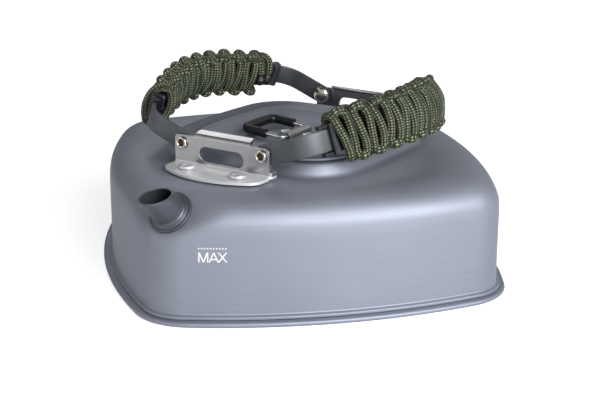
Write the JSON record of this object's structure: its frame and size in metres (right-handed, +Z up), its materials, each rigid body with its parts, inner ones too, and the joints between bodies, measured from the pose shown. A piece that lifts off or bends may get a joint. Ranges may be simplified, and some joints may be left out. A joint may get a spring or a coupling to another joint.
{
  "type": "camp kettle",
  "caption": "Low rounded-square camp kettle with a corner spout, dished lid with folding wire bail, and cord-wrapped hoop handles that fold on slotted brackets.",
  "frame": {"origin": "centre of the base on the plane that the kettle stands on", "axes": "+Z up; X and Y run along the straight sides of the body, -Y toward the wall with the fill mark; the spout points to -X-Y along the diagonal u = (1, 1, 0)/sqrt(2), and the handles turn about lines parallel to u"},
  "size_m": [0.17, 0.17, 0.0839],
  "materials": {
    "anodised_grey": "matte hard anodised",
    "anodised_dark": "matte hard anodised, darker",
    "strap_steel": "satin grey",
    "stainless": "bright",
    "eyelet_steel": "bright",
    "black_plastic": "satin",
    "black_rubber": "satin",
    "olive_cord": "braided"
  },
  "bodies": {
    "vessel": {"base_pan": "anodised_grey", "body_shell": "anodised_grey", "spout": "anodised_dark", "front_bracket": "stainless", "rear_bracket": "stainless", "front_foot_rivet_a": "stainless", "front_foot_rivet_b": "stainless", "rear_foot_rivet_a": "stainless", "rear_foot_rivet_b": "stainless", "front_pivot_rivet_a": "eyelet_steel", "front_pivot_rivet_b": "eyelet_steel", "rear_pivot_rivet_a": "eyelet_steel", "rear_pivot_rivet_b": "eyelet_steel"},
    "left_handle": {"left_arm_strap": "strap_steel", "left_grip_core": "black_plastic", "left_core_screw": "stainless", "left_cord_winding": "olive_cord"},
    "right_handle": {"right_arm_strap": "strap_steel", "right_grip_core": "black_plastic", "right_core_screw": "stainless", "right_cord_winding": "olive_cord"},
    "lid_plate": {"lid": "anodised_grey", "lid_collar": "anodised_grey", "lid_hinge_saddle": "stainless", "lid_rivet_a": "stainless", "lid_rivet_b": "stainless"},
    "bail": {"lid_bail": "stainless", "lid_bail_sleeve": "black_rubber"}
  },
  "joints": [
    {"name": "left_handle_fold", "type": "hinge", "parent": "vessel", "child": "left_handle", "pos_m": [-0.01399, 0.01399, 0.0609], "axis": [0.7071, 0.7071, 0], "range_deg": [-16, 80]},
    {"name": "right_handle_fold", "type": "hinge", "parent": "vessel", "child": "right_handle", "pos_m": [0.01399, -0.01399, 0.0609], "axis": [-0.7071, -0.7071, 0], "range_deg": [-13, 83]},
    {"name": "lid_lift", "type": "slide", "parent": "vessel", "child": "lid_plate", "axis": [0, 0, 1], "range_m": [0, 0.01]},
    {"name": "bail_fold", "type": "hinge", "parent": "lid_plate", "child": "bail", "pos_m": [0.00049, -0.00049, 0.0563], "axis": [0.7071, 0.7071, 0], "range_deg": [0, 170]}
  ]
}
